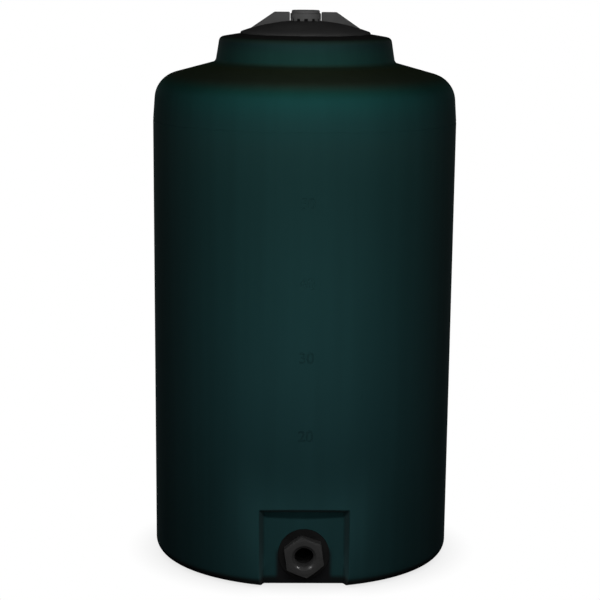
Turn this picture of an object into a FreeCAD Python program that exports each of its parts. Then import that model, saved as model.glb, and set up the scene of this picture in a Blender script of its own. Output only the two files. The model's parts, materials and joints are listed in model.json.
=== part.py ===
"""A vertical water tank: a moulded shell with a recessed outlet, a screw lid with two grips and a vent cap.

Millimetres, +Z up, with the origin on the floor under the middle of the tank.
The front, with the outlet, faces -Y.
"""

import FreeCAD, Part
import math
import os
from types import SimpleNamespace

import Sketcher

# Driving dimensions, in millimetres and degrees
DIMENSIONS = {
    # moulded shell
    "tank_radius": 291.5,
    "wall_taper": 4.6,
    "wall_height": 852,
    "wall_thickness": 6,
    "heel_radius": 24.5,
    "shoulder_rise": 79,
    "shoulder_lean": 5.5,
    "shoulder_round": 52,
    "shoulder_slope": 15.4,
    "neck_foot_radius": 172,
    "neck_foot_round": 10,
    "neck_height": 46.7,
    "neck_taper": 7.5,
    "neck_top_round": 9.5,
    # outlet recess
    "recess_depth": 38,
    "panel_width": 150,
    "panel_height": 141.5,
    "recess_draft": 19.3,
    "recess_round": 8,
    "recess_heel": 8,
    "recess_margin": 18,
    # filler ring, gasket and lid
    "seat_rise": 7,
    "ring_wall": 4.2,
    "ring_flange": 2.5,
    "ring_depth": 26,
    "seal_thickness": 1.8,
    "seal_outer_radius": 117,
    "seal_width": 11,
    "seal_margin": 5.5,
    "ring_land": 5,
    "rebate_lip": 2.2,
    "lid_overlap": 2,
    "lid_rim": 4.2,
    "lid_edge": 2,
    "lid_shell": 3.5,
    "dome_radius": 361.5,
    "skirt_depth": 24,
    "skirt_wall": 4,
    "thread_gap": 5,
    "grip_gap": 0.5,
    "grip_flat": 59.4,
    "grip_reach": 109.5,
    "grip_height": 41.1,
    "grip_thickness": 12,
    "grip_corner": 6,
    "grip_end": 2.5,
    "grip_round": 1.5,
    # vent
    "breather_radius": 8,
    "breather_wall": 10,
    "breather_height": 9,
    "vent_top_radius": 25.6,
    "vent_radius": 26.9,
    "vent_foot_radius": 29.3,
    "vent_height": 20.2,
    "vent_bevel": 2.2,
    "vent_waist": 15.2,
    "vent_foot": 13.5,
    "vent_margin": 0.4,
    "vent_wall": 2.5,
    "vent_top_wall": 4.5,
    "vent_slot_width": 7,
    "vent_slot_height": 4.5,
    # outlet fitting
    "outlet_height": 60,
    "outlet_bore": 19.5,
    "bore_bevel": 4.5,
    "barrel_radius": 31,
    "barrel_reach": 30,
    "head_length": 26,
    "head_flats": 69.6,
    "head_face_radius": 32,
    "head_turn": 8,
    "head_bevel": 30,
    "outlet_seal_radius": 48,
    "outlet_seal": 4,
    "washer_radius": 43,
    "washer_thickness": 3,
    "nut_flats": 76,
    "nut_thickness": 14,
    # running and seating clearances
    "fit_gap": 0.3,
    "hole_gap": 0.5,
}

SEGMENT_NAMES = [
    "wall_right", "wall_back_right", "wall_back", "wall_back_left",
    "wall_left", "wall_front_left", "wall_front", "wall_front_right",
]
SEGMENT_ANGLE = 360 / len(SEGMENT_NAMES)
FRONT_DIRECTION = -90
HEXAGON_SIDES = 6
VENT_SLOTS = 12
TOOL_MARGIN = 20
TOLERANCE = 0.01


class Size:
    """A length or angle that holds both its sheet expression and its present value."""

    def __init__(self, text, value):
        self.text = text
        self.value = float(value)

    def __add__(self, other):
        other = as_size(other)
        return Size(f"({self.text} + {other.text})", self.value + other.value)

    def __sub__(self, other):
        other = as_size(other)
        return Size(f"({self.text} - {other.text})", self.value - other.value)

    def __mul__(self, other):
        other = as_size(other)
        return Size(f"({self.text} * {other.text})", self.value * other.value)

    def __truediv__(self, other):
        other = as_size(other)
        return Size(f"({self.text} / {other.text})", self.value / other.value)

    def __neg__(self):
        return Size(f"(0 - {self.text})", -self.value)


def as_size(number):
    return number if isinstance(number, Size) else Size(str(number), number)


def tangent(angle):
    return Size(f"tan({angle.text} * 1 deg)", math.tan(math.radians(angle.value)))


def cosine(angle):
    return Size(f"cos({angle.text} * 1 deg)", math.cos(math.radians(angle.value)))


def sine(angle):
    return Size(f"sin({angle.text} * 1 deg)", math.sin(math.radians(angle.value)))


def root(number):
    return Size(f"sqrt({number.text})", math.sqrt(number.value))


def make_sheet():
    """Write the driving dimensions to the spreadsheet and return them as sizes."""
    sheet = doc.addObject("Spreadsheet::Sheet", "Sizes")
    sizes = {}
    for row, (name, value) in enumerate(DIMENSIONS.items(), start=1):
        sheet.set(f"A{row}", name)
        sheet.set(f"B{row}", str(value))
        sheet.setAlias(f"B{row}", name)
        sizes[name] = Size(f"Sizes.{name}", value)
    doc.recompute()
    return SimpleNamespace(**sizes)


def bind(item, path, amount):
    item.setExpression(path, as_size(amount).text)


def new_body(name):
    body = doc.addObject("PartDesign::Body", name)
    body.Label = name
    return body


def new_sketch(body, name, role, offset=None):
    """A sketch on one of the body's own origin planes, moved along the plane's normal."""
    sketch = body.newObject("Sketcher::SketchObject", f"{body.Name}_{name}")
    plane = next(item for item in body.Origin.OriginFeatures if item.Role == role)
    sketch.AttachmentSupport = [(plane, "")]
    sketch.MapMode = "FlatFace"
    if offset is not None:
        bind(sketch, "AttachmentOffset.Base.z", offset)
    return sketch


def fix_point(sketch, geometry, end, place):
    """Hold a point at a place measured from the sketch's origin."""
    for kind, axis, distance in (("DistanceX", -2, place[0]), ("DistanceY", -1, place[1])):
        distance = as_size(distance)
        if distance.value == 0:
            sketch.addConstraint(Sketcher.Constraint("PointOnObject", geometry, end, axis))
            continue
        ends = (-1, 1, geometry, end)
        if distance.value < 0:
            ends = (geometry, end, -1, 1)
            distance = -distance
        index = sketch.addConstraint(Sketcher.Constraint(kind, *ends, distance.value))
        bind(sketch, f"Constraints[{index}]", distance)


def arc_between(start, end, bow):
    """An arc through two points, with its centre to the left of the way if the bow is above zero."""
    radius = abs(bow)
    along = end - start
    middle = (start + end) * 0.5
    rise = math.sqrt(radius ** 2 - (along.Length / 2) ** 2)
    left = FreeCAD.Vector(-along.y, along.x, 0).normalize()
    centre = middle + left * math.copysign(rise, bow)
    first, last = (start, end) if bow > 0 else (end, start)
    turns = [math.atan2(point.y - centre.y, point.x - centre.x) for point in (first, last)]
    circle = Part.Circle(centre, FreeCAD.Vector(0, 0, 1), radius)
    return Part.ArcOfCircle(circle, turns[0], turns[1])


def draw_outline(sketch, corners):
    """A closed outline. A corner is (x, y), or (x, y, bow) where an arc leads on to the next corner."""
    points = [FreeCAD.Vector(as_size(c[0]).value, as_size(c[1]).value, 0) for c in corners]
    first = sketch.GeometryCount
    ends = []
    for index, corner in enumerate(corners):
        start = points[index]
        end = points[(index + 1) % len(points)]
        if len(corner) == 2:
            sketch.addGeometry(Part.LineSegment(start, end))
            ends.append((1, 2))
        else:
            bow = corner[2]
            sketch.addGeometry(arc_between(start, end, bow.value))
            ends.append((1, 2) if bow.value > 0 else (2, 1))
    for index in range(len(corners)):
        following = (index + 1) % len(corners)
        joint = (first + index, ends[index][1], first + following, ends[following][0])
        sketch.addConstraint(Sketcher.Constraint("Coincident", *joint))
    for index, corner in enumerate(corners):
        fix_point(sketch, first + index, ends[index][0], corner)
        if len(corner) == 3:
            radius = corner[2] if corner[2].value > 0 else -corner[2]
            number = sketch.addConstraint(Sketcher.Constraint("Radius", first + index, radius.value))
            bind(sketch, f"Constraints[{number}]", radius)


def draw_circle(sketch, radius):
    circle = Part.Circle(FreeCAD.Vector(0, 0, 0), FreeCAD.Vector(0, 0, 1), radius.value)
    index = sketch.addGeometry(circle)
    sketch.addConstraint(Sketcher.Constraint("Coincident", index, 3, -1, 1))
    number = sketch.addConstraint(Sketcher.Constraint("Radius", index, radius.value))
    bind(sketch, f"Constraints[{number}]", radius)


def hexagon(flats, turn):
    """The corners of a hexagon, given its size across flats and its turn from a corner at the top."""
    reach = flats / (cosine(as_size(180 / HEXAGON_SIDES)) * 2)
    step = 360 / HEXAGON_SIDES
    angles = [turn + 90 + step * index for index in range(HEXAGON_SIDES)]
    return [(reach * cosine(angle), reach * sine(angle)) for angle in angles]


def revolve(body, corners, angle=360, kind="Revolution", name="profile"):
    """Turn an outline of (radius, height) corners about the body's Z axis, evenly to both sides of +X."""
    sketch = new_sketch(body, name, "XZ_Plane")
    draw_outline(sketch, corners)
    feature = body.newObject(f"PartDesign::{kind}", f"{body.Name}_{name}_turned")
    feature.Profile = sketch
    feature.ReferenceAxis = (sketch, ["V_Axis"])
    feature.Midplane = True
    feature.Angle = angle
    doc.recompute()
    return feature


def pad(body, sketch, length, both_sides=False, taper=None):
    feature = body.newObject("PartDesign::Pad", f"{sketch.Name}_pad")
    feature.Profile = sketch
    feature.Midplane = both_sides
    bind(feature, "Length", length)
    if taper is not None:
        bind(feature, "TaperAngle", taper)
    doc.recompute()
    return feature


def round_edges(body, radius, name, chosen):
    """Round the edges of the body's last feature that the test chooses."""
    base = body.Tip
    edges = [f"Edge{number}" for number, edge in enumerate(base.Shape.Edges, start=1) if chosen(edge)]
    feature = body.newObject("PartDesign::Fillet", f"{body.Name}_{name}")
    feature.Base = (base, edges)
    bind(feature, "Radius", radius)
    doc.recompute()
    return feature


def ring_at(radius, height):
    """A test for the round edge with this radius at this height."""
    def chosen(edge):
        if not isinstance(edge.Curve, Part.Circle):
            return False
        same_radius = abs(edge.Curve.Radius - radius.value) < TOLERANCE
        return same_radius and abs(edge.Curve.Center.z - height.value) < TOLERANCE
    return chosen


def combine(kind, name, base, tool):
    result = doc.addObject(f"Part::{kind}", name)
    result.Label = name
    result.Base = base
    result.Tool = tool
    doc.recompute()
    return result


def box(name, low, high):
    """A box between two corners."""
    result = doc.addObject("Part::Box", name)
    for axis, side, start, end in zip("xyz", ("Length", "Width", "Height"), low, high):
        bind(result, side, as_size(end) - start)
        bind(result, f"Placement.Base.{axis}", start)
    doc.recompute()
    return result


def turn_about_z(body, angle):
    body.Placement = FreeCAD.Placement(FreeCAD.Vector(), FreeCAD.Rotation(FreeCAD.Vector(0, 0, 1), angle))
    doc.recompute()


def face_outlet(item):
    """Point an item's own Z axis out of the front, along the outlet's axis."""
    item.Placement = FreeCAD.Placement(FreeCAD.Vector(), FreeCAD.Rotation(FreeCAD.Vector(1, 0, 0), 90))
    bind(item, "Placement.Base.z", size.outlet_height)
    doc.recompute()


def work_out_form():
    """The shell's corners, which the pieces share."""
    form = SimpleNamespace()
    wall = size.wall_thickness
    form.foot_radius = size.tank_radius - size.wall_taper
    form.crease = size.wall_height
    slope = tangent(size.shoulder_slope)
    form.roof_thickness = wall / cosine(size.shoulder_slope)
    form.corner_radius = size.tank_radius - size.shoulder_lean
    form.corner = form.crease + size.shoulder_rise
    form.neck_foot = form.corner + (form.corner_radius - size.neck_foot_radius) * slope
    form.neck_top_radius = size.neck_foot_radius - size.neck_taper
    form.neck_top = form.neck_foot + size.neck_height
    form.seat = form.neck_top + size.seat_rise
    form.land = form.seat - size.seal_thickness - size.ring_flange
    form.rebate_radius = size.seal_outer_radius + size.seal_margin
    form.lid_radius = form.rebate_radius + size.lid_overlap
    form.seal_inner = size.seal_outer_radius - size.seal_width
    form.ring_inner = form.seal_inner - size.ring_land
    form.ring_outer = form.ring_inner + size.ring_wall
    form.ring_hole = form.ring_outer + size.fit_gap
    form.neck_split = form.neck_top - size.neck_top_round - size.wall_thickness
    form.roof_end = size.neck_foot_radius + size.neck_foot_round
    form.panel_distance = form.foot_radius - size.recess_depth
    form.heel_inner = wall_radius(form, size.heel_radius) - size.heel_radius
    form.floor_front = form.panel_distance - size.recess_heel - size.wall_thickness / 2
    form.recess_top = size.panel_height + size.recess_depth * tangent(size.recess_draft)
    form.front_split = form.recess_top + size.recess_margin
    form.dome_edge_radius = form.lid_radius - size.lid_edge
    form.dome_edge = form.seat + size.lid_rim
    form.hub_radius = size.vent_foot_radius + size.vent_margin
    form.hub = dome_height(form, form.hub_radius)
    form.skirt_outer = form.ring_inner - size.thread_gap
    form.skirt_inner = form.skirt_outer - size.skirt_wall
    work_out_round(form)
    return form


def work_out_round(form):
    """Where the shoulder's rounded corner starts on the wall and ends on the roof, outside and inside."""
    wall = size.wall_thickness
    length = root(size.shoulder_lean * size.shoulder_lean + size.shoulder_rise * size.shoulder_rise)
    lean = size.shoulder_lean / length
    climb = size.shoulder_rise / length
    level = cosine(size.shoulder_slope)
    rise = sine(size.shoulder_slope)
    turn = lean * level + climb * rise
    reach = size.shoulder_round * root((as_size(1) - turn) / (as_size(1) + turn))
    start = (form.corner_radius + reach * lean, form.corner - reach * climb)
    end = (form.corner_radius - reach * level, form.corner + reach * rise)
    form.round_start = start
    form.round_end = end
    form.round_start_inside = (start[0] - wall * climb, start[1] - wall * lean)
    form.round_end_inside = (end[0] - wall * rise, end[1] - wall * level)


def wall_radius(form, height):
    """The wall's outer radius, which grows evenly from the floor to the crease."""
    return form.foot_radius + size.wall_taper * height / size.wall_height


def roof_height(form, radius):
    """The height of the shoulder's slope outside."""
    return form.corner + (form.corner_radius - radius) * tangent(size.shoulder_slope)


def neck_radius(form, height):
    return size.neck_foot_radius - size.neck_taper * (height - form.neck_foot) / size.neck_height


def dome_height(form, radius):
    """The height of the lid's dome outside, a ball's cap that starts at the rim."""
    drop = root(size.dome_radius * size.dome_radius - radius * radius)
    edge = form.dome_edge_radius
    return form.dome_edge - root(size.dome_radius * size.dome_radius - edge * edge) + drop


def inner_corner(lean):
    """How far the inner corner lies from the outer one, where a leaning wall meets the roof."""
    slope = tangent(size.shoulder_slope)
    drop = size.wall_thickness * slope - size.wall_thickness / cosine(size.shoulder_slope)
    rise = drop / (as_size(1) + lean * slope)
    return lean * rise - size.wall_thickness, rise


def make_walls():
    """The segments of the round wall, up to the shoulder. The front one starts over the outlet recess."""
    walls = []
    for index, name in enumerate(SEGMENT_NAMES):
        bottom = form.front_split if name == "wall_front" else size.heel_radius
        low = wall_radius(form, bottom)
        high = size.tank_radius
        body = new_body(name)
        revolve(body, [
            (low - size.wall_thickness, bottom),
            (low, bottom),
            (high, form.crease),
            form.round_start,
            form.round_start_inside,
            (high - size.wall_thickness, form.crease),
        ], SEGMENT_ANGLE)
        turn_about_z(body, SEGMENT_ANGLE * index)
        walls.append(body)
    return walls


def heel_outline():
    """The rounded corner between floor and wall, as its outer and its inner line."""
    wall = size.wall_thickness
    side = wall_radius(form, size.heel_radius)
    outside = [(form.heel_inner, 0, size.heel_radius), (side, size.heel_radius)]
    inside = [(side - wall, size.heel_radius, wall - size.heel_radius), (form.heel_inner, wall)]
    return outside, inside


def make_heels():
    """The heel's segments under the wall's. The front one is shaped with the recess."""
    outside, inside = heel_outline()
    heels = []
    for index, wall_name in enumerate(SEGMENT_NAMES):
        if wall_name == "wall_front":
            continue
        body = new_body(wall_name.replace("wall", "heel"))
        revolve(body, outside + inside, SEGMENT_ANGLE)
        turn_about_z(body, SEGMENT_ANGLE * index)
        heels.append(body)
    return heels


def make_front_forms():
    """The front segment up to the split: its plain shell, and the space that it encloses."""
    outside, inside = heel_outline()
    top = wall_radius(form, form.front_split)
    strip = form.floor_front - size.heel_radius
    shell = new_body("front_shell")
    revolve(shell, [(strip, 0)] + outside + [
        (top, form.front_split),
        (top - size.wall_thickness, form.front_split),
    ] + inside + [(strip, size.wall_thickness)], SEGMENT_ANGLE)
    turn_about_z(shell, FRONT_DIRECTION)
    core = new_body("front_core")
    revolve(core, [(0, 0)] + outside + [(top, form.front_split), (0, form.front_split)], SEGMENT_ANGLE)
    turn_about_z(core, FRONT_DIRECTION)
    return shell, core


def make_recess_tool(name, distance, half_width, top, rounding):
    """A drafted block with its small face on the panel and rounded where the recess has inner corners."""
    body = new_body(name)
    sketch = new_sketch(body, "panel", "XZ_Plane", distance)
    below = as_size(-TOOL_MARGIN)
    draw_outline(sketch, [(-half_width, below), (half_width, below), (half_width, top), (-half_width, top)])
    reach = size.tank_radius + TOOL_MARGIN - distance
    pad(body, sketch, reach, taper=size.recess_draft)

    def inner_corner_edge(edge):
        """The panel's sides and top, and the edges where the cheeks meet the ledge."""
        middle = edge.BoundBox.Center
        flat = edge.BoundBox.YLength < TOLERANCE
        on_panel = flat and abs(edge.BoundBox.YMin + distance.value) < TOLERANCE
        runs_out = edge.BoundBox.YLength > reach.value / 2
        return middle.z > 0 and (on_panel or runs_out)

    round_edges(body, rounding, "inner_corners", inner_corner_edge)
    return body


def make_recess():
    """The panel, cheeks and ledge of the outlet recess, cut from one moulded form."""
    shell, core = make_front_forms()
    wall = size.wall_thickness
    half_width = size.panel_width / 2
    offset = wall / cosine(size.recess_draft) - wall * tangent(size.recess_draft)
    hollow = make_recess_tool(
        "recess_hollow", form.panel_distance, half_width, size.panel_height, size.recess_round)
    block = make_recess_tool(
        "recess_block", form.panel_distance - wall, half_width + offset, size.panel_height + offset,
        size.recess_round + wall)
    lining = combine("Common", "recess_lining", core, block)
    joined = combine("Fuse", "recess_joined", shell, lining)
    opened = combine("Cut", "recess_opened", joined, hollow)
    rounded = combine("Cut", "recess_rounded", opened, make_heel_cutter(half_width))
    return split_recess(rounded, half_width)


def make_heel_cutter(half_width):
    """What the rounded edge under the panel leaves out."""
    body = new_body("recess_heel_cutter")
    sketch = new_sketch(body, "corner", "YZ_Plane")
    front = -form.panel_distance
    heel = size.recess_heel
    below = as_size(-TOOL_MARGIN)
    draw_outline(sketch, [
        (front - heel, below),
        (front + heel, below),
        (front + heel, 0, -heel),
        (front, heel),
        (front - heel, heel),
    ])
    pad(body, sketch, half_width * 2, both_sides=True)
    return body


def split_recess(rounded, half_width):
    """Cut the recess into its panel, its two cheeks and its ledge."""
    side = half_width - size.recess_round
    under_ledge = size.panel_height - size.recess_round
    outside = -(size.tank_radius + TOOL_MARGIN)
    inside = -form.floor_front
    edge = size.tank_radius
    panel_space = box("panel_space", (-side, outside, 0), (side, inside, under_ledge))
    left_space = box("left_space", (-edge, outside, 0), (-side, inside, under_ledge))
    right_space = box("right_space", (side, outside, 0), (edge, inside, under_ledge))
    ledge_space = box("ledge_space", (-edge, outside, under_ledge), (edge, inside, form.front_split))
    plate = combine("Common", "panel_plate", rounded, panel_space)
    hole = doc.addObject("Part::Cylinder", "panel_hole")
    bind(hole, "Radius", size.barrel_radius + size.hole_gap)
    bind(hole, "Height", size.tank_radius)
    face_outlet(hole)
    return [
        combine("Cut", "outlet_panel", plate, hole),
        combine("Common", "recess_cheek_left", rounded, left_space),
        combine("Common", "recess_cheek_right", rounded, right_space),
        combine("Common", "recess_ledge", rounded, ledge_space),
    ]


def make_floor():
    """A flat disc that stops at the rounded edge under the outlet panel."""
    disc = new_body("floor_disc")
    sketch = new_sketch(disc, "outline", "XY_Plane")
    draw_circle(sketch, form.heel_inner)
    pad(disc, sketch, size.wall_thickness)
    front = new_body("floor_front")
    revolve(front, [
        (0, 0), (form.foot_radius, 0), (form.foot_radius, size.wall_thickness), (0, size.wall_thickness),
    ], SEGMENT_ANGLE)
    turn_about_z(front, FRONT_DIRECTION)
    wide = size.tank_radius
    ahead = box("ahead_of_floor", (-wide, -wide, 0), (wide, -form.floor_front, size.wall_thickness))
    notch = combine("Common", "floor_notch", front, ahead)
    return combine("Cut", "tank_floor", disc, notch)


def make_shoulder():
    """The rounded corner between the wall and the roof."""
    body = new_body("shoulder")
    revolve(body, [
        form.round_start_inside,
        (*form.round_start, size.shoulder_round),
        form.round_end,
        (*form.round_end_inside, size.wall_thickness - size.shoulder_round),
    ])
    return body


def make_roof():
    """The slope from the shoulder up to the foot of the neck."""
    end = form.roof_end
    end_height = roof_height(form, end)
    body = new_body("roof")
    revolve(body, [
        form.round_end_inside,
        form.round_end,
        (end, end_height),
        (end, end_height - form.roof_thickness),
    ])
    return body


def make_neck():
    """The short cone between the roof and the rim."""
    wall = size.wall_thickness
    lean = -(size.neck_taper / size.neck_height)
    inward, rise = inner_corner(lean)
    foot = (size.neck_foot_radius, form.neck_foot)
    inside = (size.neck_foot_radius + inward, form.neck_foot + rise)
    end = form.roof_end
    end_height = roof_height(form, end)
    top = neck_radius(form, form.neck_split)
    body = new_body("neck")
    revolve(body, [
        (end, end_height - form.roof_thickness),
        (end, end_height),
        foot,
        (top, form.neck_split),
        (top - wall, form.neck_split),
        inside,
    ])
    round_edges(body, size.neck_foot_round, "outer_foot", ring_at(*foot))
    round_edges(body, size.neck_foot_round + wall, "inner_foot", ring_at(*inside))
    return body


def make_neck_rim():
    """The neck's rounded and gently sloping top, with a rebate where the filler ring lies."""
    wall = size.wall_thickness
    bottom = neck_radius(form, form.neck_split)
    corner = (form.neck_top_radius, form.neck_top)
    inner_height = form.neck_top - wall
    inside = (neck_radius(form, inner_height) - wall, inner_height)
    flat = form.seat - size.fit_gap
    body = new_body("neck_rim")
    revolve(body, [
        (bottom - wall, form.neck_split),
        (bottom, form.neck_split),
        corner,
        (form.rebate_radius + size.rebate_lip, flat),
        (form.rebate_radius, flat),
        (form.rebate_radius, form.land),
        (form.ring_hole, form.land),
        (form.ring_hole, form.land - wall),
        (form.rebate_radius + size.rebate_lip + wall, form.land - wall),
        inside,
    ])
    round_edges(body, size.neck_top_round, "outer_corner", ring_at(*corner))
    round_edges(body, size.neck_top_round - wall, "inner_corner", ring_at(*inside))
    return body


def make_filler_ring():
    """A collar in the neck's mouth, with a flange in the rebate."""
    flange_radius = form.rebate_radius - size.fit_gap
    top = form.land + size.ring_flange
    bottom = form.land - size.ring_depth
    body = new_body("filler_ring")
    revolve(body, [
        (form.ring_inner, bottom),
        (form.ring_outer, bottom),
        (form.ring_outer, form.land),
        (flange_radius, form.land),
        (flange_radius, top),
        (form.ring_inner, top),
    ])
    return body


def make_lid_gasket():
    bottom = form.land + size.ring_flange
    body = new_body("lid_gasket")
    revolve(body, [
        (form.seal_inner, bottom),
        (size.seal_outer_radius, bottom),
        (size.seal_outer_radius, form.seat),
        (form.seal_inner, form.seat),
    ])
    return body


def make_lid():
    """One moulding: a dome with a rim, a skirt that screws into the ring, a breather tube and two grips."""
    shell = size.lid_shell
    bottom = form.seat - size.skirt_depth
    under_hub = form.hub - shell
    tube_top = form.hub + size.breather_height
    tube_outer = size.breather_radius + size.breather_wall
    dome_inner = size.dome_radius - shell
    body = new_body("lid")
    revolve(body, [
        (size.breather_radius, under_hub),
        (size.breather_radius, tube_top),
        (tube_outer, tube_top),
        (tube_outer, form.hub),
        (form.hub_radius, form.hub, -size.dome_radius),
        (form.dome_edge_radius, form.dome_edge),
        (form.lid_radius, form.dome_edge - size.lid_edge),
        (form.lid_radius, form.seat),
        (form.skirt_outer, form.seat),
        (form.skirt_outer, bottom),
        (form.skirt_inner, bottom),
        (form.skirt_inner, dome_height(form, form.skirt_inner) - shell, dome_inner),
        (form.hub_radius, under_hub),
    ])
    add_grips(body)
    return body


def add_grips(body):
    """Two upright fins across the dome, sunk into its shell."""
    start = form.hub_radius + size.grip_gap
    root_depth = size.lid_shell / 2
    top = form.seat + size.grip_height
    sketch = new_sketch(body, "grip", "XZ_Plane")
    draw_outline(sketch, [
        (start, form.hub - root_depth),
        (size.grip_reach, dome_height(form, size.grip_reach) - root_depth),
        (size.grip_flat, top),
        (start, top),
    ])
    fin = pad(body, sketch, size.grip_thickness, both_sides=True)
    pair = body.newObject("PartDesign::PolarPattern", "lid_grip_pair")
    pair.Originals = [fin]
    pair.Axis = (sketch, ["V_Axis"])
    pair.Angle = 360
    pair.Occurrences = 2
    body.Tip = pair
    doc.recompute()

    def top_edge(edge):
        """The edges across the fins at the ends of their flat tops."""
        bounds = edge.BoundBox
        across = abs(bounds.YLength - size.grip_thickness.value) < TOLERANCE
        return across and abs(bounds.Center.z - top.value) < TOLERANCE

    def by_vent(edge):
        return abs(abs(edge.BoundBox.Center.x) - start.value) < TOLERANCE

    def outer_corner(edge):
        return top_edge(edge) and not by_vent(edge)

    def inner_end(edge):
        return top_edge(edge) and by_vent(edge)

    def side_edge(edge):
        """The edges along both sides of each fin, above the dome."""
        bounds = edge.BoundBox
        beside = abs(abs(bounds.YMin) - size.grip_thickness.value / 2) < TOLERANCE
        return beside and bounds.YLength < TOLERANCE and bounds.ZMax > form.hub.value

    round_edges(body, size.grip_corner, "grip_corners", outer_corner)
    round_edges(body, size.grip_end, "grip_ends", inner_end)
    round_edges(body, size.grip_round, "grip_sides", side_edge)


def make_vent_cap():
    """A bell that stands over the breather tube, with air slots round its foot."""
    wall = size.vent_wall
    base = form.hub
    top = base + size.vent_height
    ceiling = top - size.vent_top_wall
    shoulder = top - size.vent_bevel
    body = new_body("vent_cap")
    turned = revolve(body, [
        (0, ceiling),
        (0, top),
        (size.vent_top_radius, top),
        (size.vent_radius, shoulder),
        (size.vent_radius, base + size.vent_waist),
        (size.vent_foot_radius, base + size.vent_foot),
        (size.vent_foot_radius, base),
        (size.vent_foot_radius - wall, base),
        (size.vent_foot_radius - wall, base + size.vent_foot - wall / 2),
        (size.vent_radius - wall, base + size.vent_waist - wall / 2),
        (size.vent_radius - wall, ceiling),
    ])
    sketch = new_sketch(body, "slot", "XY_Plane", base)
    half = size.vent_slot_width / 2
    inner = size.breather_radius + size.breather_wall
    outer = size.vent_foot_radius + wall
    draw_outline(sketch, [(inner, -half), (outer, -half), (outer, half), (inner, half)])
    slot = body.newObject("PartDesign::Pocket", "vent_cap_slot")
    slot.Profile = sketch
    slot.Reversed = True
    bind(slot, "Length", size.vent_slot_height)
    doc.recompute()
    ring = body.newObject("PartDesign::PolarPattern", "vent_cap_slots")
    ring.Originals = [slot]
    ring.Axis = (sketch, ["N_Axis"])
    ring.Angle = 360
    ring.Occurrences = VENT_SLOTS
    body.Tip = ring
    doc.recompute()
    if ring.Shape.Volume >= slot.Shape.Volume or slot.Shape.Volume >= turned.Shape.Volume:
        raise RuntimeError("the vent's slots cut nothing")
    return body


def make_outlet_fitting():
    """A bored barrel through the panel, with a hexagon head outside."""
    start = form.panel_distance + size.outlet_seal
    face = start + size.head_length
    inner_end = form.panel_distance - size.wall_thickness - size.barrel_reach
    body = new_body("outlet_fitting")
    revolve(body, [
        (size.outlet_bore, inner_end),
        (size.barrel_radius, inner_end),
        (size.barrel_radius, face),
        (size.outlet_bore + size.bore_bevel, face),
        (size.outlet_bore, face - size.bore_bevel),
    ])
    sketch = new_sketch(body, "head", "XY_Plane", start)
    draw_outline(sketch, hexagon(size.head_flats, size.head_turn))
    draw_circle(sketch, size.outlet_bore + size.bore_bevel)
    pad(body, sketch, size.head_length)
    corner = size.head_flats
    revolve(body, [
        (size.head_face_radius, face),
        (corner, face - (corner - size.head_face_radius) * tangent(size.head_bevel)),
        (corner, face + TOOL_MARGIN),
        (size.head_face_radius, face + TOOL_MARGIN),
    ], kind="Groove", name="corner_bevel")
    face_outlet(body)
    return body


def make_ring(name, inner, outer, start, end):
    """A flat ring on the outlet's axis."""
    body = new_body(name)
    revolve(body, [(inner, start), (outer, start), (outer, end), (inner, end)])
    face_outlet(body)
    return body


def make_outlet_seals():
    """The gasket outside the panel, the washer inside it, and the nut that draws them together."""
    outside = form.panel_distance
    inside = outside - size.wall_thickness
    nut_start = inside - size.washer_thickness
    gasket_end = outside + size.outlet_seal
    opening = size.barrel_radius + size.fit_gap
    gasket = make_ring("outlet_gasket", opening, size.outlet_seal_radius, outside, gasket_end)
    washer = make_ring("outlet_washer", opening, size.washer_radius, nut_start, inside)
    nut = new_body("outlet_nut")
    sketch = new_sketch(nut, "outline", "XY_Plane", nut_start - size.nut_thickness)
    draw_outline(sketch, hexagon(size.nut_flats, size.head_turn))
    draw_circle(sketch, opening)
    pad(nut, sketch, size.nut_thickness)
    face_outlet(nut)
    return [gasket, washer, nut]


def check_document(nodes):
    for item in doc.Objects:
        if "Invalid" in item.State or "Error" in item.State:
            raise RuntimeError(f"{item.Name} failed: {item.State}")
    for node in nodes:
        if node.Shape.isNull() or not node.Shape.isValid():
            raise RuntimeError(f"{node.Label} has no valid shape")
        if len(node.Shape.Solids) != 1:
            raise RuntimeError(f"{node.Label} has {len(node.Shape.Solids)} solids")


doc = FreeCAD.newDocument("water_tank")
size = make_sheet()
form = work_out_form()

parts = make_walls()
parts += make_heels()
parts += make_recess()
parts += [make_floor(), make_shoulder(), make_roof(), make_neck(), make_neck_rim()]
parts += [make_filler_ring(), make_lid_gasket(), make_lid(), make_vent_cap()]
parts += [make_outlet_fitting()]
parts += make_outlet_seals()

check_document(parts)
os.makedirs("parts", exist_ok=True)
for part in parts:
    part.Shape.exportStep(f"parts/{part.Label}.step")
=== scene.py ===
import json
import math

import bmesh
import bpy
from mathutils import Matrix, Vector


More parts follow.
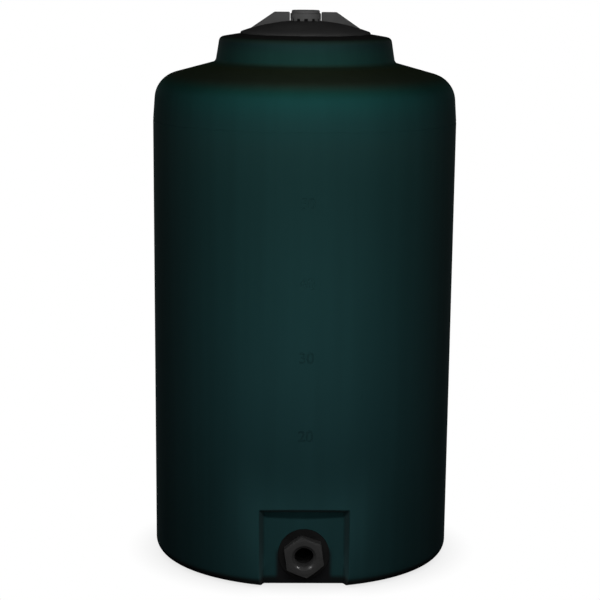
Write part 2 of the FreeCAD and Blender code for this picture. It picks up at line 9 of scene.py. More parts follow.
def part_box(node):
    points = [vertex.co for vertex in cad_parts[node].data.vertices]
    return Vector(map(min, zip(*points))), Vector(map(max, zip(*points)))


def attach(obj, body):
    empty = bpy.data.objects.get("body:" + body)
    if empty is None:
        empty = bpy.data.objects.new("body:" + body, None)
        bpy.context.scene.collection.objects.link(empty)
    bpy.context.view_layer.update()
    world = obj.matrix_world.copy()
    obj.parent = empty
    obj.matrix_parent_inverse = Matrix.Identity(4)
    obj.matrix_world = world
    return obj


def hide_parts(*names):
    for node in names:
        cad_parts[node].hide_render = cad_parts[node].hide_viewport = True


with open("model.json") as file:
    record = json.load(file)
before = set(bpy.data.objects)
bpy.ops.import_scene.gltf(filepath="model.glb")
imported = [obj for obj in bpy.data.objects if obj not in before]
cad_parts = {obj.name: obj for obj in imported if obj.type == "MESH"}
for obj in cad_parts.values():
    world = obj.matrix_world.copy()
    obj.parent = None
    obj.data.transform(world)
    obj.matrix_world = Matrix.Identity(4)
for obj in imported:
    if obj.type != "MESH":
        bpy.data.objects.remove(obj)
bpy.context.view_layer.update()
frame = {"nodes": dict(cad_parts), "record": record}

# Sizes of the moulded shell, in metres, as in the CAD
TANK_RADIUS = 0.2915
FOOT_RADIUS = 0.2869
WALL = 0.006
HEEL = 0.0245
PARTING_HEIGHT = 0.852
CORNER_RADIUS = 0.286
CORNER_HEIGHT = 0.931
CORNER_ROUND = 0.052
SLOPE = math.radians(15.4)
NECK_RADIUS = 0.172
NECK_HEIGHT = 0.0467
NECK_MIDDLE_RISE = 0.0234
NECK_TOP_RADIUS = 0.1645
NECK_FILLET = 0.010
NECK_EDGE = 0.0095
SEAT_RISE = 0.007
REBATE_DEPTH = 0.0043
REBATE_RADIUS = 0.1225
REBATE_LIP = 0.0022
RING_HOLE = 0.1055
NECK_FOOT = CORNER_HEIGHT + (CORNER_RADIUS - NECK_RADIUS) * math.tan(SLOPE)
NECK_MIDDLE = NECK_FOOT + NECK_MIDDLE_RISE
NECK_TOP = NECK_FOOT + NECK_HEIGHT
SEAT = NECK_TOP + SEAT_RISE
LAND = SEAT - REBATE_DEPTH

# Groove along the parting line
GROOVE_DEPTH = 0.0008
GROOVE_HALF = 0.0016
GROOVE_FLOOR_HALF = 0.0004
GROOVE_ROUND = 0.0006
GROOVE_STEP = 0.0001

# Outlet recess
PANEL = -0.2489
PANEL_HALF = 0.075
PANEL_TOP = 0.1415
DRAFT = math.radians(19.3)
RECESS_HEEL = 0.008
RECESS_CORNER = 0.003
RECESS_LIP = 0.004
RECESS_REACH = 0.174
OUTLET_HEIGHT = 0.060
OUTLET_HOLE = 0.0315
HOLE_BLOCK = 0.024

# Rows and columns of the shell's faces as (start, end, step), closest where the recess turns its corners
PANEL_ROWS = (0.028, 0.132, 0.004)
LEDGE_ROWS = (0.1345, 0.1625, 0.0009)
EASED_ROWS = [0.167, 0.175, 0.188, 0.21, 0.25]
WALL_ROWS = (0.30, 0.83, 0.053)
PANEL_COLUMNS = (0, 0.064, 0.004)
CHEEK_COLUMNS = (0.068, 0.092, 0.0008)
EASED_COLUMNS = [0.095, 0.099, 0.104, 0.110, 0.117, 0.124]
BACK_COLUMNS = 116
COLUMN_RADIUS = 0.2896
ROOF_ROWS = (0.225, 0.198)
FLOOR_RINGS = (0.93, 0.7, 0.35)

# Lid, vent and threads
GRIP_HALF = 0.006
GRIP_EDGE = 0.0004
VENT_WALL = 0.0025
LID_PITCH = 0.0075
LID_TURNS = 2.3
OUTLET_PITCH = 0.00221
OUTLET_TURNS = 11

# Limits for points that count as one, the hole's edge, flat edges to drop and sharp edges to round
SAME_PLACE = 2e-6
HOLE_SLACK = 1e-6
FLAT_ANGLE = math.radians(0.4)
SHARP_ANGLE = math.radians(28)

# The shell's green, and the share of it that shows at each height, as (height, share) stops: painted light
# and shade, darker at the heel, on the roof and round the rim, with a painted highlight on the shoulder
GREEN_DARK = (0.0128, 0.0484, 0.0490)
GREEN_LIGHT = (0.0146, 0.0520, 0.0528)
# The colour of the painted shadow under the outlet
OUTLET_SHADOW = (0.0070, 0.0072, 0.0078)
BLOOM = 0.02
PAINTED_LIGHT_TOP = 1.02
HEEL_SHADE = [(0.0, (0.42, 0.14, 0.14)), (0.013, (0.46, 0.18, 0.18)), (0.020, (0.70, 0.63, 0.66))]
WALL_LIGHT_AND_SHADE = [(0.30, (0.70, 0.65, 0.68)), (0.50, (0.64, 0.63, 0.64)), (0.82, (0.61, 0.59, 0.57))]
SHOULDER_HIGHLIGHT = [(0.868, (0.52, 0.60, 0.58)), (0.910, (0.40, 0.69, 0.64)), (0.922, (0.34, 0.59, 0.48))]
ROOF_SHADE = [(0.938, (0.92, 0.36, 0.24)), (0.958, (0.87, 0.34, 0.18))]
NECK_LIGHT_AND_SHADE = [(0.968, (0.55, 0.62, 0.53)), (0.985, (0.52, 0.55, 0.48)), (1.0, (0.46, 0.37, 0.37))]
RIM_SHADE = [(1.008, (0.57, 0.33, 0.25)), (1.012, (0.80, 0.22, 0.21))]
PAINTED_LIGHT_STOPS = HEEL_SHADE + WALL_LIGHT_AND_SHADE + SHOULDER_HIGHLIGHT + ROOF_SHADE + NECK_LIGHT_AND_SHADE + RIM_SHADE

# A Mix node's sockets for a factor and two colours, and its output for the mixed colour
MIX_INPUTS = (0, 6, 7)
MIX_OUTPUT = 2

SHELL_NODES = [part["node"] for part in frame["record"]["subparts"] if part["material_slot"] == "shell"]


# Node helpers

def feed(socket, value):
    """Link a node's input to another node's output, or give it a fixed value."""
    if isinstance(value, bpy.types.NodeSocket):
        socket.id_data.links.new(value, socket)
    else:
        socket.default_value = value


def node_adder(tree):
    """A function that adds a node to a tree, with its settings and with values or links for its inputs."""
    def add(kind, settings=None, **inputs):
        node = tree.nodes.new(kind)
        for key, value in (settings or {}).items():
            setattr(node, key, value)
        for key, value in inputs.items():
            feed(node.inputs[key.replace("_", " ")], value)
        return node

    return add


def new_material(name):
    """A new material, its node tree, its shader and a function that adds nodes to it."""
    material = bpy.data.materials.new(name)
    material.use_nodes = True
    tree = material.node_tree
    return material, tree, tree.nodes["Principled BSDF"], node_adder(tree)


def calculate(add, operation, *values, clamp=False):
    """The result of an operation on numbers or outputs."""
    node = add("ShaderNodeMath", {"operation": operation, "use_clamp": clamp})
    for socket, value in zip(node.inputs, values):
        feed(socket, value)
    return node.outputs[0]


def remap(add, value, settings=None, **limits):
    """A value moved from one range to another, and kept within it."""
    return add("ShaderNodeMapRange", settings, Value=value, **limits).outputs["Result"]


def noise(add, place, **settings):
    """A cloudy pattern at a place."""
    return add("ShaderNodeTexNoise", Vector=place, **settings).outputs["Fac"]


def parts_of(add, vector):
    """The outputs X, Y and Z of a vector."""
    return add("ShaderNodeSeparateXYZ", Vector=vector).outputs


def ramp(add, source, stops):
    """A colour ramp with (place, colour) stops."""
    node = add("ShaderNodeValToRGB", Fac=source)
    elements = node.color_ramp.elements
    while len(elements) < len(stops):
        elements.new(0.5)
    for element, (place, colour) in zip(elements, stops):
        element.position = place
        element.color = (*colour, 1)
    return node.outputs["Color"]


def grey(level):
    """A colour with no hue."""
    return (level, level, level)


def blend(add, kind, factor, first, second):
    """Two colours mixed or multiplied."""
    node = add("ShaderNodeMix", {"data_type": "RGBA", "blend_type": kind})
    for index, value in zip(MIX_INPUTS, (factor, first, second)):
        feed(node.inputs[index], value)
    return node.outputs[MIX_OUTPUT]


# Materials

def shell_plastic(name, tone):
    """Rotomoulded polyethylene: dark green and matte, with a fine skin, faint upright flow marks, painted
    light and shade by height and a painted shadow under the outlet.
    """
    material, _, shader, add = new_material(name)
    place = add("ShaderNodeTexCoord").outputs["Object"]
    blotches = noise(add, place, Scale=5.0, Detail=3.0, Roughness=0.55)
    streak_place = add("ShaderNodeMapping", Vector=place, Scale=(46.0, 46.0, 1.6)).outputs["Vector"]
    streaks = noise(add, streak_place, Scale=1.0, Detail=2.0)
    skin = noise(add, place, Scale=420.0, Detail=3.0, Roughness=0.6)
    dark, light = [(*(tone * part for part in green), 1) for green in (GREEN_DARK, GREEN_LIGHT)]
    base = blend(add, "MIX", blotches, dark, light)
    # Painted light and shade by height
    height_shaded = blend(add, "MULTIPLY", 1.0, base, painted_light_by_height(add, place))
    marks = ramp(add, streaks, [(0.35, grey(0.92)), (0.7, grey(1.0))])
    streaked = blend(add, "MULTIPLY", 1.0, height_shaded, marks)
    # Painted shadow under the outlet
    colour = blend(add, "MIX", outlet_shadow_mask(add, place), streaked, (*OUTLET_SHADOW, 1))
    feed(shader.inputs["Base Color"], colour)
    feed(shader.inputs["Roughness"], remap(add, blotches, To_Min=0.62, To_Max=0.76))
    streak_relief = 0.6
    relief = calculate(add, "MULTIPLY_ADD", streaks, streak_relief, skin)
    bump = add("ShaderNodeBump", Height=relief, Strength=0.16, Distance=0.0006)
    feed(shader.inputs["Normal"], bump.outputs["Normal"])
    feed(shader.inputs["Specular IOR Level"], 0.0)
    feed(shader.inputs["Sheen Weight"], upright_bloom(add))
    feed(shader.inputs["Sheen Roughness"], 0.5)
    return material


def painted_light_by_height(add, place):
    """Painted light and shade: the share of the shell's green at a place's height."""
    share = calculate(add, "DIVIDE", parts_of(add, place)["Z"], PAINTED_LIGHT_TOP)
    return ramp(add, share, [(height / PAINTED_LIGHT_TOP, colour) for height, colour in PAINTED_LIGHT_STOPS])


def upright_bloom(add):
    """The weight of a pale bloom that lies on upright faces and fades from those that face up."""
    facing = add("ShaderNodeNewGeometry").outputs["Normal"]
    return remap(add, parts_of(add, facing)["Z"], From_Min=0.35, From_Max=0.85, To_Min=BLOOM, To_Max=0.0)


def outlet_shadow_mask(add, place):
    """A mask for the painted shadow that runs from under the outlet down to the floor."""
    x, y, z = parts_of(add, place)
    soft = {"interpolation_type": "SMOOTHSTEP"}
    across = remap(add, calculate(add, "ABSOLUTE", x), soft, From_Min=0.056, From_Max=0.046)
    upward = remap(add, z, soft, From_Min=0.075, From_Max=0.055)
    front = remap(add, y, soft, From_Min=-0.20, From_Max=-0.22)
    return calculate(add, "MULTIPLY", calculate(add, "MULTIPLY", across, upward), front)


def grip_highlight_mask(add, place):
    """A mask for the painted highlight on the lid's two grips, which lie along X, patchy in places."""
    across = calculate(add, "ABSOLUTE", parts_of(add, place)["Y"])
    patchy = noise(add, place, Scale=35.0, Detail=3.0)
    most = remap(add, patchy, From_Min=0.3, From_Max=0.6, To_Min=0.75)
    return remap(add, across, From_Min=GRIP_HALF + GRIP_EDGE, From_Max=GRIP_HALF, To_Max=most)


def black_plastic(name, dark, light, rough, grain, relief, shine, grip_highlight=0.0):
    """Moulded black plastic or rubber with a fine grain and dulled patches, and a painted highlight on the
    lid's grips.
    """
    material, _, shader, add = new_material(name)
    place = add("ShaderNodeTexCoord").outputs["Object"]
    patches = noise(add, place, Scale=22.0, Detail=4.0, Roughness=0.6)
    fine = noise(add, place, Scale=grain, Detail=2.0, Roughness=0.6)
    colour = ramp(add, patches, [(0.3, grey(dark)), (0.72, grey(light))])
    if grip_highlight:
        colour = blend(add, "MIX", grip_highlight_mask(add, place), colour, (*grey(grip_highlight), 1))
    feed(shader.inputs["Base Color"], colour)
    feed(shader.inputs["Roughness"], remap(add, patches, To_Min=rough - 0.07, To_Max=rough + 0.07))
    bump = add("ShaderNodeBump", Height=fine, Strength=relief, Distance=0.0004)
    feed(shader.inputs["Normal"], bump.outputs["Normal"])
    feed(shader.inputs["Specular IOR Level"], shine)
    return material


SHELL = shell_plastic("shell_plastic", tone=1.0)
# A darker copy of the shell's plastic, for the numbers 20 and 30
MARKING = shell_plastic("marking_plastic", tone=0.82)
# The lid's grips are painted a lighter grey, a painted highlight
LID = black_plastic("lid_plastic", dark=0.026, light=0.033, rough=0.45, grain=650.0, relief=0.12,
                    shine=0.0, grip_highlight=0.066)
# The vent cap's black plastic is painted a lighter grey than the lid's, a painted highlight
VENT = black_plastic("vent_plastic", dark=0.066, light=0.080, rough=0.40, grain=700.0, relief=0.10, shine=0.0)
FITTING = black_plastic("fitting_plastic", dark=0.0112, light=0.0162, rough=0.28, grain=800.0, relief=0.06,
                        shine=0.08)
RUBBER = black_plastic("seal_rubber", dark=0.006, light=0.010, rough=0.75, grain=1200.0, relief=0.15,
                       shine=0.005)


# Mesh helpers

def new_piece(name, mesh, material, body, nodes=()):
    """Link a mesh as a piece that rides on a body."""
    piece = bpy.data.objects.new(name, mesh)
    bpy.context.scene.collection.objects.link(piece)
    mesh.materials.clear()
    mesh.materials.append(material)
    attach(piece, body)
    if nodes:
        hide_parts(*nodes)


def finish_mesh(name, form, crease):
    """Turn a bmesh into a mesh with smooth faces and sharp edges over an angle in degrees."""
    bmesh.ops.recalc_face_normals(form, faces=form.faces)
    mesh = bpy.data.meshes.new(name)
    form.to_mesh(mesh)
    form.free()
    mesh.shade_smooth()
    mesh.set_sharp_from_angle(angle=math.radians(crease))
    return mesh


def join_loops(form, first, second):
    """Bridge two closed loops with the same number of points by a band of faces."""
    for index in range(len(first)):
        following = (index + 1) % len(first)
        form.faces.new((first[index], first[following], second[following], second[index]))


def rounded(corners):
    """Points along a section of (radius, height, rounding, steps) corners, with arcs at the rounded ones."""
    points = []
    for index, (across, up, radius, steps) in enumerate(corners):
        corner = Vector((across, up))
        if radius == 0:
            points.append(corner)
            continue
        before = (Vector(corners[index - 1][:2]) - corner).normalized()
        after = (Vector(corners[index + 1][:2]) - corner).normalized()
        half = before.angle(after) / 2
        start = corner + before * radius / math.tan(half)
        end = corner + after * radius / math.tan(half)
        centre = corner + (before + after).normalized() * radius / math.sin(half)
        first = start - centre
        last = end - centre
        turn = math.atan2(first.x * last.y - first.y * last.x, first.dot(last))
        angle = math.atan2(first.y, first.x)
        for step in range(steps + 1):
            now = angle + turn * step / steps
            points.append(centre + Vector((math.cos(now), math.sin(now))) * radius)
    return points


def soft_max(first, second, width):
    """The larger of two numbers, rounded where they are closer than the width."""
    near = max(width - abs(first - second), 0) / width
    return max(first, second) + near * near * width / 4


def steps_between(start, end, step):
    """Evenly spaced numbers from start to end, about a step apart."""
    count = round((end - start) / step)
    return [start + (end - start) * index / count for index in range(count + 1)]


# Moulded shell

def pressed(x, y, z, inset):
    """How far back the front wall lies at x and z, with the outlet recess pressed into it."""
    growth = inset / math.cos(DRAFT) - inset * math.tan(DRAFT)
    panel = PANEL + inset
    foot = RECESS_HEEL - inset
    height = z - inset
    if height < foot:
        panel += foot - math.sqrt(max(foot ** 2 - (foot - height) ** 2, 0))
    beside = soft_max(0, abs(x) - PANEL_HALF - growth, RECESS_CORNER)
    beyond = soft_max(beside, z - PANEL_TOP - growth, RECESS_CORNER)
    return soft_max(y, panel - beyond / math.tan(DRAFT), RECESS_LIP)


def wall_radius(height):
    """The outer radius of the slightly tapered wall."""
    return FOOT_RADIUS + (TANK_RADIUS - FOOT_RADIUS) * height / PARTING_HEIGHT


def roof_height(radius):
    """The height of the sloping roof."""
    return CORNER_HEIGHT + (CORNER_RADIUS - radius) * math.tan(SLOPE)


def wall_levels():
    """Heights of the rows of faces on the wall."""
    low_rows = steps_between(*PANEL_ROWS) + steps_between(*LEDGE_ROWS)
    return low_rows + EASED_ROWS + steps_between(*WALL_ROWS)


def outer_section(levels):
    """Corners for rounded: the shell's outside, from the middle of the floor to the hole in the rim."""
    groove = TANK_RADIUS - GROOVE_DEPTH
    neck_middle_radius = 0.1682
    rim_radius = 0.142
    rim_height = NECK_TOP + 0.0039
    lip_height = SEAT - 0.0003
    corners = [(0, 0, 0, 0), (FOOT_RADIUS, 0, HEEL, 14)]
    corners += [(wall_radius(z), z, 0, 0) for z in levels]
    corners += [
        (TANK_RADIUS, PARTING_HEIGHT - GROOVE_HALF, GROOVE_ROUND, 2),
        (groove, PARTING_HEIGHT - GROOVE_FLOOR_HALF, 0, 0),
        (groove, PARTING_HEIGHT + GROOVE_FLOOR_HALF, 0, 0),
        (TANK_RADIUS - GROOVE_STEP, PARTING_HEIGHT + GROOVE_HALF, GROOVE_ROUND, 2),
        (CORNER_RADIUS, CORNER_HEIGHT, CORNER_ROUND, 24),
    ]
    corners += [(radius, roof_height(radius), 0, 0) for radius in ROOF_ROWS]
    return corners + [
        (NECK_RADIUS, NECK_FOOT, NECK_FILLET, 10),
        (neck_middle_radius, NECK_MIDDLE, 0, 0),
        (NECK_TOP_RADIUS, NECK_TOP, NECK_EDGE, 12),
        (rim_radius, rim_height, 0, 0),
        (REBATE_RADIUS + REBATE_LIP, lip_height, 0.0009, 4),
        (REBATE_RADIUS, lip_height, 0.0005, 3),
        (REBATE_RADIUS, LAND, 0.0004, 2),
        (RING_HOLE, LAND, 0.0008, 3),
        (RING_HOLE, LAND - WALL, 0.0008, 3),
    ]


def inner_section(levels):
    """Corners for rounded: the shell's inside, from under the rim back to the middle of the floor."""
    neck_radius = NECK_TOP_RADIUS - WALL + 0.001
    neck_middle_radius = 0.1625
    foot_radius = NECK_RADIUS - 0.0064
    foot_height = NECK_FOOT - 0.0045
    corner_radius = CORNER_RADIUS - WALL - 0.0003
    corner_height = CORNER_HEIGHT - 0.0046
    corners = [
        (REBATE_RADIUS + REBATE_LIP + WALL, LAND - WALL, 0.004, 4),
        (neck_radius, NECK_TOP - WALL, 0.0035, 4),
        (neck_middle_radius, NECK_MIDDLE, 0, 0),
        (foot_radius, foot_height, 0.016, 6),
        (corner_radius, corner_height, CORNER_ROUND - WALL, 12),
        (TANK_RADIUS - WALL, PARTING_HEIGHT, 0, 0),
    ]
    corners += [(wall_radius(z) - WALL, z, 0, 0) for z in reversed(levels)]
    return corners + [(FOOT_RADIUS - WALL, WALL, HEEL - WALL, 10), (0, WALL, 0, 0)]


def shell_rows():
    """The shell's section from the floor's edge outside, over the rim, to the floor's edge inside."""
    levels = wall_levels()
    points = rounded(outer_section(levels) + inner_section(levels))
    return points[1:-1]


def front_columns():
    """Places of the columns across the front, in metres to the right of the middle."""
    half = steps_between(*PANEL_COLUMNS) + steps_between(*CHEEK_COLUMNS) + EASED_COLUMNS
    return [-x for x in reversed(half[1:])] + half


def around_hole(x, z):
    """Move a point of the panel's grid so that the block round the outlet opens into a round hole."""
    up = z - OUTLET_HEIGHT
    reach = max(abs(x), abs(up))
    if reach > 2 * HOLE_BLOCK or reach < HOLE_BLOCK / 2:
        return x, z
    share = min(1, 2 - reach / HOLE_BLOCK)
    distance = math.hypot(x, up)
    circle = OUTLET_HOLE * reach / HOLE_BLOCK / distance
    scale = 1 - share + share * circle
    return x * scale, OUTLET_HEIGHT + up * scale


def shell_row(inset, radius, height, columns):
    """One row of points: across the front, pressed in where an inset is given, then round the back."""
    in_reach = inset is not None and height < RECESS_REACH
    reference = radius if in_reach else COLUMN_RADIUS
    row = []
    for x in columns:
        angle = math.asin(x / reference)
        across = radius * math.sin(angle)
        depth = -radius * math.cos(angle)
        up = height
        if in_reach:
            depth = pressed(across, depth, height, inset)
            across, up = around_hole(across, height)
        row.append((across, depth, up))
    edge = math.asin(columns[-1] / reference)
    for index in range(1, BACK_COLUMNS + 1):
        angle = edge + (2 * math.pi - 2 * edge) * index / (BACK_COLUMNS + 1)
        row.append((radius * math.sin(angle), -radius * math.cos(angle), height))
    return row


def in_hole(first, second):
    """Whether a face between two (x, height) corners lies in the block that the outlet's hole takes."""
    middle_x = (first[0] + second[0]) / 2
    middle_up = (first[1] + second[1]) / 2 - OUTLET_HEIGHT
    return max(abs(middle_x), abs(middle_up)) < HOLE_BLOCK


def make_shell():
    """The whole moulding as one closed skin, with the hole for the outlet."""
    rows = shell_rows()
    columns = front_columns()
    middle = max(range(len(rows)), key=lambda index: rows[index].y)
    form = bmesh.new()
    grid = []
    for index, (radius, height) in enumerate(rows):
        inset = 0 if index < middle else WALL
        on_wall = radius > FOOT_RADIUS - HEEL - WALL
        points = shell_row(inset if on_wall else None, radius, height, columns)
        grid.append([form.verts.new(point) for point in points])
    count = len(grid[0])
    for index in range(len(grid) - 1):
        for place in range(count):
            beside = (place + 1) % count
            if beside < len(columns) and place < len(columns) and rows[index].y < RECESS_REACH:
                low_corner = (columns[place], rows[index].y)
                high_corner = (columns[beside], rows[index + 1].y)
                if in_hole(low_corner, high_corner):
                    continue
            form.faces.new((grid[index][place], grid[index][beside],
                            grid[index + 1][beside], grid[index + 1][place]))
    outside = hole_loop(grid, rows, columns, range(middle))
    inside = hole_loop(grid, rows, columns, range(middle, len(rows)))
    join_loops(form, outside, inside)
    for edge, level in ((grid[0], 0), (grid[-1], WALL)):
        close_floor(form, edge, level)
    loose = [vertex for vertex in form.verts if not vertex.link_faces]
    bmesh.ops.delete(form, geom=loose, context="VERTS")
    mesh = finish_mesh("tank_shell", form, crease=48)
    new_piece("tank_shell", mesh, SHELL, "tank", SHELL_NODES)


def hole_loop(grid, rows, columns, indices):
    """The vertices round the outlet's block, in order, on the rows with these indices."""
    def near(value):
        return abs(value) < HOLE_BLOCK + HOLE_SLACK

    across = [place for place, x in enumerate(columns) if near(x)]
    upward = [index for index in indices if near(rows[index].y - OUTLET_HEIGHT)]
    upward.sort(key=lambda index: rows[index].y)
    loop = [grid[upward[0]][place] for place in across]
    loop += [grid[index][across[-1]] for index in upward[1:]]
    loop += [grid[upward[-1]][place] for place in reversed(across[:-1])]
    loop += [grid[index][across[0]] for index in reversed(upward[1:-1])]
    return loop


def close_floor(form, edge, level):
    """Fill the floor inside its edge with shrinking rings and a middle."""
    before = edge
    for share in FLOOR_RINGS:
        ring = [form.verts.new((v.co.x * share, v.co.y * share, level)) for v in edge]
        join_loops(form, before, ring)
        before = ring
    centre = form.verts.new((0, 0, level))
    for index in range(len(edge)):
        form.faces.new((before[index], before[(index + 1) % len(edge)], centre))


# Softened CAD pieces, threads, numbers and gauze

def soften(node, name, width, body, material, crease=35):
    """A copy of a CAD piece with its sharp edges rounded, in the CAD piece's place."""
    form = bmesh.new()
    form.from_mesh(frame["nodes"][node].data)
    bmesh.ops.remove_doubles(form, verts=form.verts, dist=SAME_PLACE)
    bmesh.ops.dissolve_limit(form, angle_limit=FLAT_ANGLE, verts=form.verts, edges=form.edges)
    sharp = [edge for edge in form.edges
             if len(edge.link_faces) == 2 and edge.calc_face_angle() > SHARP_ANGLE]
    bmesh.ops.bevel(form, geom=sharp, offset=width, offset_type="OFFSET", segments=2, profile=0.5,
                    affect="EDGES", clamp_overlap=True)
    new_piece(name, finish_mesh(name, form, crease), material, body, [node])


def make_thread(name, root, crest, pitch, turns, base, body, material, along=None):
    """A screw thread's ridge: a wedge that winds round +Z from the base, or round a matrix's own Z axis."""
    per_turn = 72
    total = round(per_turn * turns)
    fade = per_turn // 6
    depth = 0.0004
    sunk = root - depth if crest > root else root + depth
    root_half = 0.42
    crest_half = 0.14
    form = bmesh.new()
    rings = []
    for step in range(total + 1):
        angle = 2 * math.pi * step / per_turn
        height = base + pitch * step / per_turn
        share = min(1, step / fade, (total - step) / fade)
        top = root + (crest - root) * share
        corners = [(sunk, -root_half), (top, -crest_half), (top, crest_half), (sunk, root_half)]
        rings.append([form.verts.new((r * math.cos(angle), r * math.sin(angle), height + pitch * up))
                      for r, up in corners])
    for first, second in zip(rings, rings[1:]):
        join_loops(form, first, second)
    form.faces.new(rings[0])
    form.faces.new(rings[-1])
    if along is not None:
        bmesh.ops.transform(form, matrix=along, verts=form.verts)
    new_piece(name, finish_mesh(name, form, crease=40), material, body)


def make_number(text, height, material):
    """A raised number on the front wall, bent round it."""
    curve = bpy.data.curves.new("number", "FONT")
    curve.body = text
    curve.size = 0.029
    curve.extrude = 0.0009
    curve.bevel_depth = 0.00035
    curve.bevel_resolution = 1
    curve.align_x = "CENTER"
    curve.align_y = "CENTER"
    writing = bpy.data.objects.new("number", curve)
    bpy.context.scene.collection.objects.link(writing)
    graph = bpy.context.evaluated_depsgraph_get()
    flat = bpy.data.meshes.new_from_object(writing.evaluated_get(graph))
    bpy.data.objects.remove(writing)
    form = bmesh.new()
    form.from_mesh(flat)
    bpy.data.meshes.remove(flat)
    bmesh.ops.remove_doubles(form, verts=form.verts, dist=SAME_PLACE)
    for vertex in form.verts:
        across, up, out = vertex.co
        radius = wall_radius(height + up) + out
        angle = across / TANK_RADIUS
        vertex.co = (radius * math.sin(angle), -radius * math.cos(angle), height + up)
    name = f"level_{text}"
    new_piece(name, finish_mesh(name, form, crease=30), material, "tank")


def make_vent_screen():
    """A ring of dark gauze inside the vent cap, behind its slots."""
    low_corner, high_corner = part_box("vent_cap")
    gap = 0.0002
    lift = 0.0003
    height = 0.0075
    thickness = 0.0008
    count = 96
    outer = high_corner[0] - VENT_WALL - gap
    inner = outer - thickness
    base = low_corner[2] + lift
    top = base + height
    angles = [2 * math.pi * step / count for step in range(count)]
    form = bmesh.new()
    rings = []
    for radius, level in ((outer, base), (outer, top), (inner, top), (inner, base)):
        rings.append([form.verts.new((radius * math.cos(angle), radius * math.sin(angle), level))
                      for angle in angles])
    for first, second in zip(rings, rings[1:] + rings[:1]):
        join_loops(form, first, second)
    new_piece("vent_screen", finish_mesh("vent_screen", form, crease=40), RUBBER, "lid")


make_shell()
make_number("20", 0.295, MARKING)
make_number("30", 0.441, MARKING)
make_number("40", 0.5775, SHELL)
make_number("50", 0.723, SHELL)

soften("lid", "lid_cover", 0.0009, "lid", LID)
soften("vent_cap", "vent_bell", 0.0006, "lid", VENT)
make_vent_screen()
soften("filler_ring", "filler_collar", 0.0006, "tank", FITTING)
soften("outlet_fitting", "outlet_body", 0.0005, "tank", FITTING, crease=20)
soften("outlet_nut", "outlet_back_nut", 0.0009, "tank", FITTING)
soften("outlet_gasket", "outlet_seal", 0.0008, "tank", RUBBER)
soften("outlet_washer", "outlet_inner_seal", 0.0006, "tank", RUBBER)
soften("lid_gasket", "lid_seal", 0.0004, "lid_gasket", RUBBER)

OUTLET_AXIS = Matrix.Translation((0, 0, OUTLET_HEIGHT)) @ Matrix.Rotation(math.radians(90), 4, "X")
make_thread("lid_thread", root=0.096, crest=0.0982, pitch=LID_PITCH, turns=LID_TURNS, base=SEAT - 0.0215,
            body="lid", material=LID)
make_thread("filler_thread", root=0.101, crest=0.0990, pitch=LID_PITCH, turns=LID_TURNS, base=SEAT - 0.0255,
            body="tank", material=FITTING)
make_thread("outlet_thread", root=0.0195, crest=0.0183, pitch=OUTLET_PITCH, turns=OUTLET_TURNS, base=0.2495,
            body="tank", material=FITTING, along=OUTLET_AXIS)


# Stage

def show_white(add, dark, white):
    """Mix two shaders so that the camera, and what mirrors or lets light through, sees the white one."""
    path = add("ShaderNodeLightPath").outputs
    seen = calculate(add, "ADD", path["Is Camera Ray"], path["Is Glossy Ray"])
    seen = calculate(add, "ADD", seen, path["Is Transmission Ray"], clamp=True)
    mix = add("ShaderNodeMixShader", Fac=seen)
    feed(mix.inputs[1], dark)
    feed(mix.inputs[2], white)
    return mix.outputs[0]


def make_floor():
    """A wide pale floor with a soft shadow where the tank stands."""
    mesh = bpy.data.meshes.new("floor")
    reach = 30.0
    level = -0.0005
    corners = [(-reach, -reach, level), (reach, -reach, level), (reach, reach, level), (-reach, reach, level)]
    mesh.from_pydata(corners, [], [(0, 1, 2, 3)])
    floor = bpy.data.objects.new("floor", mesh)
    bpy.context.scene.collection.objects.link(floor)
    material, tree, shader, add = new_material("pale_floor")
    openness = add("ShaderNodeAmbientOcclusion", {"samples": 16}, Distance=0.065).outputs["AO"]
    strength = remap(add, openness, To_Min=0.75, To_Max=1.0)
    glow = add("ShaderNodeEmission", Color=(1, 1, 1, 1), Strength=strength).outputs[0]
    feed(shader.inputs["Base Color"], (*grey(0.16), 1))
    feed(shader.inputs["Roughness"], 0.9)
    surface = show_white(add, shader.outputs[0], glow)
    feed(tree.nodes["Material Output"].inputs["Surface"], surface)
    mesh.materials.append(material)


def make_world():
    """White surroundings that light the tank only faintly."""
    world = bpy.data.worlds.new("studio")
    bpy.context.scene.world = world
    world.use_nodes = True
    tree = world.node_tree
    add = node_adder(tree)
    dim = add("ShaderNodeBackground", Color=(1, 1, 1, 1), Strength=0.05).outputs[0]
    white = add("ShaderNodeBackground", Color=(1, 1, 1, 1), Strength=1.0).outputs[0]
    feed(tree.nodes["World Output"].inputs["Surface"], show_white(add, dim, white))


def make_lamp(name, place, aim, size, power):
    """A soft rectangular lamp."""
    light = bpy.data.lights.new(name, "AREA")
    light.shape = "RECTANGLE"
    light.size, light.size_y = size
    light.energy = power
    place_light(light, place, aim)


def make_spot(name, place, aim, angle, power, glints=False):
    """A lamp whose light fades from its middle to the edge of a cone, and which may show in glossy pieces."""
    light = bpy.data.lights.new(name, "SPOT")
    light.spot_size = angle
    light.spot_blend = 1.0
    light.shadow_soft_size = 0.05
    light.energy = power
    place_light(light, place, aim, glints)


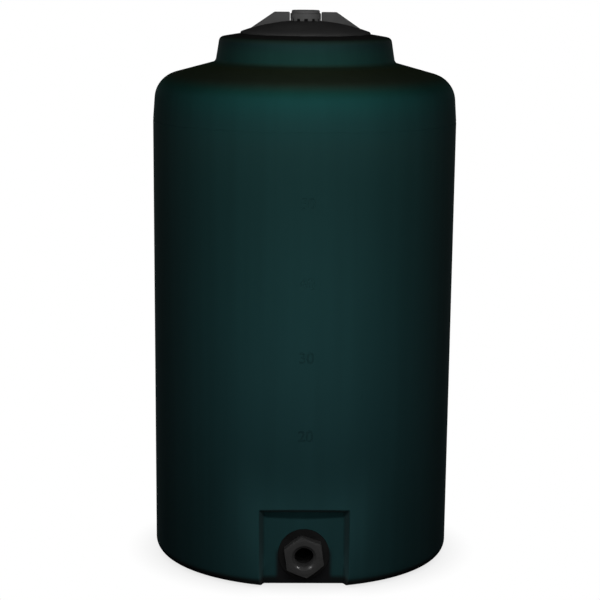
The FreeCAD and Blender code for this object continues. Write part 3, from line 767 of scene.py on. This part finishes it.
def place_light(light, place, aim, glints=False):
    """Hang a light at a place, pointed at its aim and out of sight, apart from its glints."""
    lamp = bpy.data.objects.new(light.name, light)
    bpy.context.scene.collection.objects.link(lamp)
    lamp.location = place
    lamp.rotation_euler = (Vector(aim) - Vector(place)).to_track_quat("-Z", "Y").to_euler()
    lamp.visible_camera = False
    lamp.visible_glossy = glints


def make_lamps():
    """Lamps for the front's wall, shoulder, foot and lid, two for glints, and fills from behind and above."""
    make_lamp("front_low", place=(0, -0.864, 0.581), aim=(0, 0, 0.424), size=(0.386, 0.061), power=3.443)
    make_lamp("front_high", place=(0, -0.5, 1.049), aim=(0, 0, 1.26), size=(0.764, 0.4), power=1.669)
    make_spot("front_foot", place=(0, -1.1, 0.36), aim=(0, -0.25, 0.03), angle=0.46, power=8.0)
    make_spot("front_lid", place=(0, -2.5, 1.06), aim=(0, 0, 1.1), angle=0.2, power=120.0)
    for name, side in (("left_glint", -1), ("right_glint", 1)):
        make_spot(name, place=(side * 0.9, -0.63, 1.07), aim=(0, -0.28, 0.042), angle=0.1, power=60.0,
                  glints=True)
    for name, side in (("left_strip", -1), ("right_strip", 1)):
        make_lamp(name, place=(side * 0.875, 1.515, 0.95), aim=(0, 0, 0.6), size=(0.5, 1.2), power=18)
    make_lamp("top_panel", place=(0, 0.3, 2.6), aim=(0, 0, 0.9), size=(1.0, 1.0), power=5)


def make_camera():
    """The photograph's view: a long lens a little above the lid, tipped down, with a slight roll."""
    azimuth = math.radians(-1.5)
    heading = azimuth + 0.00146
    distance = 3.7682
    height = 1.1699
    pitch = 0.1764
    roll = 0.0100
    data = bpy.data.cameras.new("camera")
    data.sensor_width = 36.0
    data.lens = 117.18
    data.clip_end = 200
    camera = bpy.data.objects.new("camera", data)
    bpy.context.scene.collection.objects.link(camera)
    place = Matrix.Translation((math.sin(azimuth) * distance, -math.cos(azimuth) * distance, height))
    turned = Matrix.Rotation(heading, 4, "Z")
    tipped = Matrix.Rotation(math.pi / 2 - pitch, 4, "X")
    camera.matrix_world = place @ turned @ tipped @ Matrix.Rotation(roll, 4, "Z")
    bpy.context.scene.camera = camera


make_floor()
make_world()
make_lamps()
make_camera()
bpy.context.scene.view_settings.view_transform = "Standard"
